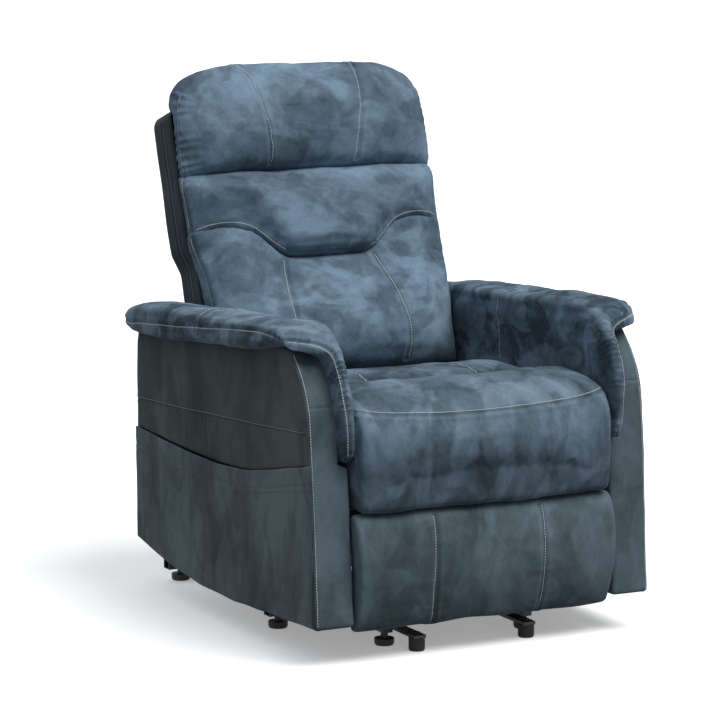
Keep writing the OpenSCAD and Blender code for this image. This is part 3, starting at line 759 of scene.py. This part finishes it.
def head():
    outline = rounded([(-10, 461), (-46, 461), (-70, 474), (-90, 520), (-96, 565), (-89, 615),
                       (-72, 655), (-48, 682), (-20, 693), (8, 686), (22, 664), (20, 614), (-8, 612)], 2)
    v, f = side_block(outline, -BACK_HALF, BACK_HALF, 15)
    x, w, s = v[:, 0], v[:, 1], v[:, 2]
    u = np.abs(x) / BACK_HALF
    s = s - smoothstep(560, 690, s) * (5 + 40 * u**6)
    x = x * (1 - 0.045 * smoothstep(540, 670, s))
    s = s - 9 * smoothstep(0.88, 1, u) * smoothstep(505, 465, s)
    w = np.where(w < -8, w + smoothstep(-8, -96, w) * 46 * u**6, w)
    ob = make("head_cushion_cover", back_point(x, w, s), f)
    remesh(ob, 6, 7)
    lines = []
    for sx in (-1, 1):
        places = [(128, -30, 690), (126, -52, 680), (121, -76, 650), (113, -94, 592), (103, -94, 530),
                  (98, -78, 480), (97, -66, 468)]
        lines.append(spline([back_point(sx * x, w, s) for x, w, s in places], 4))
    seams = [trace(ob, p)[0] for p in lines]
    inflate(ob, 4.0, 9, held_near(coords(ob), seams, 14))
    refine(ob)
    runs = []
    for k, p in enumerate(lines):
        seam, _ = trace(ob, p)
        crease(ob, seam, 3.4, 3.4, 1.2, gather=0.5, pitch=26, length=20, phase=k)
        runs.append(beside(trace(ob, p), -3.6 if k else 3.6, ob))
    runs += side_seams(ob, [(466, -28), (520, -30), (560, -32), (600, -35), (630, -40)], gather=2.6)
    lower, _ = trace(ob, spline([back_point(x, -70, 470) for x in np.linspace(-260, 260, 12)], 5))
    crease(ob, lower, 6, 0.0, 0.0, gather=1.0, pitch=26, length=24, phase=2)
    ripple(ob, 150, 1.8, 41)
    ripple(ob, 46, 0.4, 42)
    finish_piece(ob, "back", SUEDE, ["head_cushion"])
    thread("head_stitches", [trace(ob, p) for p, _ in runs], "back", THREAD)
    return ob


def shell():
    """The padded cover over the back frame: sides, top and rear, open at the front and below."""
    def outline(inset, low):
        half = [(254, low), (254, 150), (264, 172), (264, 282), (278, 322), (278, 590), (270, 604),
                (252, 608)]
        right = [(x - inset, min(s, 608 - inset)) for x, s in half]
        return np.array(right + [(-x, s) for x, s in right[::-1]])

    wall, deep, front = 9.0, 89.0, -6.0
    foot = -60.0
    outer, inner = outline(0, foot), outline(wall, foot)
    rings = []
    for loop, w in ((inner, 78.0), (inner, front), (outer, front), (outer, deep - 14),
                    (outline(4, foot), deep - 4), (outline(14, foot), deep)):
        rings.append(back_point(loop[:, 0], np.full(len(loop), w), loop[:, 1]))
    n, m = len(rings), len(rings[0])
    verts = np.vstack(rings)
    faces = [tuple(range(m)), tuple((n - 1) * m + i for i in range(m))[::-1]]
    for i in range(n - 1):
        for j in range(m):
            k = (j + 1) % m
            faces.append((i * m + j, i * m + k, (i + 1) * m + k, (i + 1) * m + j))
    ob = make("back_shell_cover", verts, faces)
    remesh(ob, 4.5, 5)
    refine(ob)
    co = coords(ob)
    local_w = (co[:, 1] - HINGE[0]) * math.cos(LEAN) - (co[:, 2] - HINGE[1]) * math.sin(LEAN)
    local_s = (co[:, 1] - HINGE[0]) * math.sin(LEAN) + (co[:, 2] - HINGE[1]) * math.cos(LEAN)
    swell = smoothstep(60, 88, local_w) * np.clip(1 - (co[:, 0] / 270) ** 4, 0, 1)
    swell *= np.clip(1 - ((local_s - 275) / 340) ** 6, 0, 1)
    co += BACKWARD * (swell * 5)[:, None]
    put(ob, co)
    runs = []
    for sx in (-1, 1):
        side = spline([back_point(sx * 300, 34, s) for s in (-50, 100, 280, 330, 450, 580)], 5)
        line, _ = trace(ob, side, aim=(-sx, 0, 0))
        crease(ob, line, 3.2, 2.2, 0.6)
        runs.append(trace(ob, line))
    over = spline([back_point(x, 34, 660) for x in np.linspace(-240, 240, 9)], 5)
    top, _ = trace(ob, over, aim=back_point(0, 0, -1) - back_point(0, 0, 0))
    crease(ob, top, 3.2, 2.2, 0.6)
    runs.append(trace(ob, top))
    ripple(ob, 170, 1.2, 51)
    finish_piece(ob, "back", SUEDE_SHELL, ["back_shell"])
    thread("shell_stitches", [trace(ob, p) for p, _ in runs], "back", OLIVE_THREAD)
    return ob


def lining():
    """The lining stretched over the front of the back frame, which the cushions lie on."""
    v, f = side_block(rounded([(-7, -30), (-2, -30), (-2, 596), (-7, 596)], 1), -266, 266, 1.5, step=12)
    ob = make("back_lining", back_point(v[:, 0], v[:, 1], v[:, 2]), f)
    ob.data.materials.append(SUEDE_SHELL)
    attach(ob, "back")


# ------------------------------------------------------------------ footrest
def footrest():
    outline = rounded([(-409, 60), (-424, 57), (-437, 62), (-447, 84), (-456, 120), (-463, 165),
                       (-461, 215), (-453, 252), (-443, 273), (-428, 279), (-409, 279)], 2)
    ob = make("footrest_cover", *side_block(outline, -273, 273, 7))
    remesh(ob, 5, 3)
    places = [(113, 268), (114, 165), (112, 62)]
    lines = [spline([(sx * x, -600, z) for x, z in places], 5) for sx in (-1, 1)]
    seams = [trace(ob, p, aim=(0, 1, 0))[0] for p in lines]
    inflate(ob, 4.0, 5, held_near(coords(ob), seams, 14))
    refine(ob)
    co = coords(ob)
    put(ob, np.column_stack([co[:, 0], np.minimum(co[:, 1], -408.4), np.clip(co[:, 2], 55.2, 279.5)]))
    runs = []
    for k, p in enumerate(lines):
        seam, _ = trace(ob, p, aim=(0, 1, 0))
        crease(ob, seam, 4.0, 3.6, 1.2, gather=0.4, pitch=24, length=18, phase=k)
        runs.append(beside(trace(ob, p, aim=(0, 1, 0)), 4.5 if k else -4.5, ob))
    ripple(ob, 150, 1.4, 61)
    ripple(ob, 48, 0.3, 62)
    finish_piece(ob, "footrest", SUEDE_FOOT, ["footrest_pad"])
    thread("footrest_stitches", [trace(ob, p) for p, _ in runs], "footrest", THREAD)


# ------------------------------------------------------------------ arms
ARM_FRONT = [(-443, 73), (-435, 190), (-426, 300), (-416, 408), (-409, 467), (-395, 506),
             (-370, 545), (-338, 577)]


def arm_cover(side, sx):
    """One arm's cover: firm side panel, front and inner side. sx is -1 on the sitter's right."""
    outline = np.array(ARM_FRONT + [(-250, 583), (0, 562), (354, 531), (362, 500), (362, 300), (362, 100),
                                    (210, 72), (61, 59), (-103, 58), (-222, 64)], float)
    low = side_block(outline, 276, 357, 4, step=7)
    ob = make(f"arm_cover_{side}_fabric", *low)
    remesh(ob, 5, 4)
    co = coords(ob)
    # above the split the inner side steps out, to leave room for the pad's flap
    step_in = smoothstep(366, 378, co[:, 2]) * smoothstep(318, 278, co[:, 0])
    co[:, 0] += step_in * (303 - co[:, 0]).clip(0)
    swell = smoothstep(350, 357, co[:, 0]) * np.clip(1 - ((co[:, 1] + 40) / 410) ** 6, 0, 1)
    # behind the pocket the panel stays flat
    bulge = 2.5 if sx > 0 else 0.0
    co[:, 0] += swell * bulge * np.clip(1 - ((co[:, 2] - 300) / 260) ** 6, 0, 1)
    co[:, 0] *= sx
    put(ob, co)
    if sx < 0:
        ob.data.flip_normals()
    refine(ob)
    runs = []
    edge = spline([(sx * 357, y - 1, z) for y, z in ARM_FRONT], 5)
    line, _ = trace(ob, edge)
    crease(ob, line, 2.6, 1.6, 0.6)
    path = spline([(sx * 354, y - 3, z + 1) for y, z in ARM_FRONT], 5)
    runs.append(trace(ob, path))
    seam = spline([(sx * 420, 360, 383), (sx * 420, 13, 403), (sx * 420, -404, 431)], 6)
    line, _ = trace(ob, seam, aim=(-sx, 0, 0))
    crease(ob, line, 2.6, 1.8, 0.5)
    runs.append(beside(trace(ob, line), -4 * sx, ob))
    drop = spline([(sx * 420, 25, 396), (sx * 420, 24, 322)], 6)
    line, _ = trace(ob, drop, aim=(-sx, 0, 0))
    crease(ob, line, 2.4, 1.4, 0.4)
    runs.append(beside(trace(ob, line), 3.5, ob))
    across = spline([(sx * x, -600, 480) for x in (306, 330, 350)], 5)
    line, _ = trace(ob, across, aim=(0, 1, 0))
    crease(ob, line, 2.4, 1.2, 0.3)
    ripple(ob, 190, 1.0, 71)
    if sx < 0:
        hollow_pocket(ob)
    # the side panel gets the darker copy of the suede, which carries painted shade
    finish_piece(ob, "chair", SUEDE_SIDE_SHADED, [f"arm_cover_{side}"])
    ob.data.materials.append(SUEDE_FRONT)
    face_the_front(ob, sx)
    thread(f"arm_front_stitches_{side}", [trace(ob, runs[0][0])], "chair", THREAD)
    thread(f"arm_side_stitches_{side}", [trace(ob, p) for p, _ in runs[1:]], "chair", OLIVE_THREAD)
    return ob


def face_the_front(ob, sx):
    """The front panel takes its own, lighter copy of the suede; the side panel's darker copy is painted
    shade, where the side faces away from the light.
    """
    n = np.empty(len(ob.data.polygons) * 3)
    c = np.empty(len(ob.data.polygons) * 3)
    ob.data.polygons.foreach_get("normal", n)
    ob.data.polygons.foreach_get("center", c)
    n, c = n.reshape(-1, 3), c.reshape(-1, 3) / MM
    is_front = (np.abs(c[:, 0]) < 354.5) & (c[:, 1] < -330)
    ob.data.polygons.foreach_set("material_index", is_front.astype(int).tolist())


POCKET_TOP = spline([(-440, 381), (-407, 374), (-300, 352), (-190, 331), (-90, 321), (14, 318), (208, 322),
                     (361, 328), (380, 329)], 8)


def pocket_mouth(y):
    """Height of the pocket's upper edge."""
    return np.interp(y, POCKET_TOP[:, 0], POCKET_TOP[:, 1])


def hollow_pocket(ob):
    """Sinks the side panel behind the pocket, so that the pocket is a real hollow."""
    co = coords(ob)
    top = pocket_mouth(co[:, 1])
    inside = smoothstep(-408, -400, co[:, 1]) * smoothstep(344, 336, co[:, 1])
    inside *= smoothstep(114, 124, co[:, 2]) * smoothstep(top + 2, top - 8, co[:, 2])
    outer = smoothstep(-345, -352, co[:, 0])
    co[:, 0] += inside * outer * 19
    put(ob, co)


def pocket():
    """The pocket's own panel, with a turned hem at its mouth."""
    ys = np.linspace(-432, 360, 120)
    top = pocket_mouth(ys)
    bottom = np.interp(ys, [-440, -222, -103, 61, 210, 362], [73, 64, 58, 59, 72, 99]) + 2
    rows = np.r_[np.linspace(0, 0.86, 34), np.linspace(0.875, 1, 12)]
    outer, inner = [], []
    for v in rows:
        z = bottom + (top - bottom) * v
        u = (ys + 36) / 396
        swell = 2.0 + 4.9 * v**1.4 * (1 - np.abs(u) ** 5)
        hem = 0.7 * smoothstep(0.87, 0.90, v)
        outer.append(np.column_stack([-(357.4 + swell + hem), ys, z]))
        inner.append(np.column_stack([-(357.4 + swell + hem - 2.4 - 0.8 * smoothstep(0.9, 1, v)), ys, z]))
    ob = make("side_pocket_panel", np.vstack(outer + inner), slab_faces(len(ys), len(rows)))
    refine(ob)
    co = coords(ob)
    sag = 1.1 * np.sin(co[:, 1] / 71 + 1) * smoothstep(120, 300, co[:, 2])
    co[:, 0] -= sag * smoothstep(-420, -380, co[:, 1]) * smoothstep(350, 310, co[:, 1])
    put(ob, co)
    ripple(ob, 120, 0.6, 81)
    finish_piece(ob, "chair", SUEDE_POCKET, ["side_pocket"])
    hem = spline([(-420, y, float(pocket_mouth(y)) - 42) for y in np.linspace(-424, 356, 30)], 6)
    line, _ = trace(ob, hem, aim=(1, 0, 0))
    crease(ob, line, 2.6, 1.0, 0.3)
    thread("pocket_stitches", [trace(ob, hem, aim=(1, 0, 0))], "chair", DARK_THREAD)


PAD_TOP = np.array([(-389, 583), (-366, 609), (-322, 622), (-260, 620), (-150, 612), (45, 600), (224, 589),
                    (308, 581), (368, 571), (391, 548)], float)


def arm_pad(side, sx):
    """The arm's padded top and the flap that hangs from it down the inner side."""
    top = rounded([(-382, 563), (-389, 583), (-366, 611), (-322, 622), (-260, 620), (-150, 612),
                   (45, 600), (224, 589), (308, 581), (368, 571), (390, 556), (391, 540), (382, 530),
                   (350, 522), (0, 546),
                   (-262, 571), (-340, 569)], 2)
    flap = rounded([(-424, 374), (-438, 382), (-446, 402), (-450, 440), (-447, 480), (-434, 530),
                    (-412, 566),
                    (-390, 592), (-340, 604), (0, 575), (352, 550), (354, 376)], 2)
    v, f = join_parts([side_block(top, 274, 383, 12), side_block(flap, 276, 301, 9)])
    ob = make(f"arm_pad_{side}_cover", v, f)
    remesh(ob, 5, 9)
    co = coords(ob)
    crown = smoothstep(560, 600, co[:, 2] + 0.075 * (co[:, 1] + 352))
    crown *= (1 - ((co[:, 0] - 332) / 60) ** 2).clip(0, 1)
    co[:, 2] += crown * 4 - 4 * smoothstep(352, 384, co[:, 0]) * crown
    # the front end thins to a lip towards the outside, and is rounded in plan
    out = ((co[:, 0] - 300) / 83).clip(0, 1) * (co[:, 2] > 540)
    over = np.interp(co[:, 1], PAD_TOP[:, 0], PAD_TOP[:, 1])
    co[:, 2] += (over - co[:, 2]).clip(0) * 0.6 * out * smoothstep(-210, -350, co[:, 1])
    co[:, 1] += 27 * out**2 * smoothstep(-290, -388, co[:, 1])
    # the flap narrows towards its lower end
    low = smoothstep(500, 385, co[:, 2])
    co[:, 0] = np.where(co[:, 2] < 540, 276 + (co[:, 0] - 276) * (1 - 0.30 * low), co[:, 0])
    # the overhang past the side panel is less at both ends
    taper = 9 * smoothstep(-250, -380, co[:, 1]) + 8 * smoothstep(230, 390, co[:, 1])
    co[:, 0] -= taper * smoothstep(320, 383, co[:, 0])
    co[:, 0] *= sx
    put(ob, co)
    if sx < 0:
        ob.data.flip_normals()
    side_pts = [(384, 392, 541), (385, 338, 541), (386, 299, 549), (386, 153, 562), (386, -11, 581),
                (386, -150, 596), (386, -250, 606), (384, -300, 605), (376, -330, 600), (352, -362, 597),
                (324, -382, 595),
                (304, -396, 588), (300, -411, 570), (298, -432, 530), (296, -446, 490), (292, -450, 440),
                (288, -446, 402), (284, -436, 382)]
    path = spline([(sx * x, y, z) for x, y, z in side_pts], 5)
    seam, _ = trace(ob, path)
    inflate(ob, 4.0, 4, held_near(coords(ob), [seam], 12))
    refine(ob)
    seam, _ = trace(ob, path)
    crease(ob, seam, 3.2, 2.4, 0.9)
    # tight gathers round the front corner, slack ones down the flap
    corner, down = seam[(seam[:, 1] < -290) & (seam[:, 2] > 470)], seam[seam[:, 2] < 500]
    crease(ob, corner, 3.0, 0.0, 0.0, gather=2.6, pitch=12.5, length=15, phase=0.4)
    crease(ob, down, 3.0, 0.0, 0.0, gather=1.1, pitch=15, length=12, phase=1.1)
    runs = [beside(trace(ob, seam), 3.6 * sx, ob)]
    cross = [(378, 12, 560), (372, 11, 600), (330, 10, 612), (285, 9, 600), (266, 8, 560), (262, -3, 500),
             (262, -6, 465)]
    seam, _ = trace(ob, spline([(sx * x, y, z) for x, y, z in cross], 5))
    crease(ob, seam, 3.0, 2.0, 0.7, gather=0.5, pitch=18, length=14)
    runs.append(beside(trace(ob, seam), 4.0, ob))
    ripple(ob, 130, 1.6, 91 + sx)
    ripple(ob, 42, 0.45, 93)
    co = coords(ob)
    co[:, 0] = sx * np.clip(sx * co[:, 0], 268.5, 389)
    put(ob, co)
    finish_piece(ob, "chair", SUEDE_ARM, [f"arm_pad_{side}"])
    thread(f"pad_stitches_{side}", [trace(ob, p) for p, _ in runs], "chair", THREAD)
    return ob


def rail_covers():
    """Cloth tacked over the front ends of the seat frame's rails."""
    _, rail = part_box("seat_frame")
    for side, sx in (("left", 1), ("right", -1)):
        outline = rounded([(-397, 222), (-393, 222), (-393, 284), (-397, 284)], 1)
        v, f = side_block(outline, 226, rail[0] / MM + 10, 1, step=10)
        ob = make(f"rail_cover_{side}", v * (sx, 1, 1), f)
        ob.data.materials.append(SUEDE_SHELL)
        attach(ob, "chair")


# ------------------------------------------------------------------ hard parts from CAD
EDGE_ROUND = 0.0007  # metres


def dress_cad():
    slots = {s["node"]: s["material_slot"] for s in frame["record"]["subparts"]}
    for name, ob in frame["nodes"].items():
        ob.data.materials.clear()
        ob.data.materials.append(CAD_MATERIALS[slots[name]])
        if slots[name] not in ("suede_light", "suede_side"):
            b = ob.modifiers.new("edges", "BEVEL")
            b.width = EDGE_ROUND
            b.segments = 2
            b.limit_method = "ANGLE"
            b.angle_limit = math.radians(40)


# ------------------------------------------------------------------ floor, light, camera
def studio():
    me = bpy.data.meshes.new("studio_floor")
    r = 40.0
    me.from_pydata([(-r, -r, 0), (r, -r, 0), (r, r, 0), (-r, r, 0)], [], [(0, 1, 2, 3)])
    floor = bpy.data.objects.new("studio_floor", me)
    bpy.context.scene.collection.objects.link(floor)
    mat, _, bsdf = node_material("floor_white")
    bsdf.inputs["Base Color"].default_value = (0.9, 0.9, 0.9, 1)
    bsdf.inputs["Roughness"].default_value = 0.9
    bsdf.inputs["Emission Color"].default_value = (1, 1, 1, 1)
    bsdf.inputs["Emission Strength"].default_value = 0.30
    me.materials.append(mat)
    floor.visible_diffuse = False
    world = bpy.data.worlds.new("studio")
    world.use_nodes = True
    wt = world.node_tree
    coord = wt.nodes.new("ShaderNodeTexCoord")
    split = wt.nodes.new("ShaderNodeSeparateXYZ")
    wt.links.new(coord.outputs["Generated"], split.inputs[0])
    sky = ramp(wt, maths(wt, "ADD", maths(wt, "MULTIPLY", split.outputs["Z"], 0.5), 0.5),
               [(0.35, (0.16, 0.17, 0.18)), (0.62, (0.62, 0.66, 0.72)), (1.0, (0.95, 0.98, 1.0))])
    back = wt.nodes["Background"]
    wt.links.new(sky, back.inputs["Color"])
    back.inputs["Strength"].default_value = 0.62
    bpy.context.scene.world = world
    lamps = [("key_sun", (1.7, -2.5, 5.0), 2.5, 38, (1.0, 0.985, 0.96)),
             ("rim_sun", (-2.5, 3.0, 5.0), 0.35, 50, (0.9, 0.95, 1.0))]
    for name, at, power, spread, colour in lamps:
        data = bpy.data.lights.new(name, "SUN")
        data.energy = power
        data.angle = math.radians(spread)
        data.color = colour
        ob = bpy.data.objects.new(name, data)
        ob.location = at
        ob.rotation_mode = "QUATERNION"
        ob.rotation_quaternion = (-Vector(at)).to_track_quat("-Z", "Y")
        bpy.context.scene.collection.objects.link(ob)
    cam = bpy.data.objects.new("camera", bpy.data.cameras.new("camera"))
    bpy.context.scene.collection.objects.link(cam)
    at, to = Vector((-3.225, -6.172, 1.614)), Vector((-0.040, -0.014, 0.503))
    cam.location = at
    cam.rotation_mode = "QUATERNION"
    cam.rotation_quaternion = (to - at).to_track_quat("-Z", "Y")
    cam.data.sensor_width = 36
    cam.data.lens = 178.7
    cam.data.clip_end = 100
    bpy.context.scene.camera = cam
    bpy.context.scene.view_settings.view_transform = "Standard"


dress_cad()
seat()
lumbar()
middle()
head()
shell()
lining()
footrest()
for side, sx in (("left", 1), ("right", -1)):
    arm_cover(side, sx)
    arm_pad(side, sx)
pocket()
rail_covers()
studio()
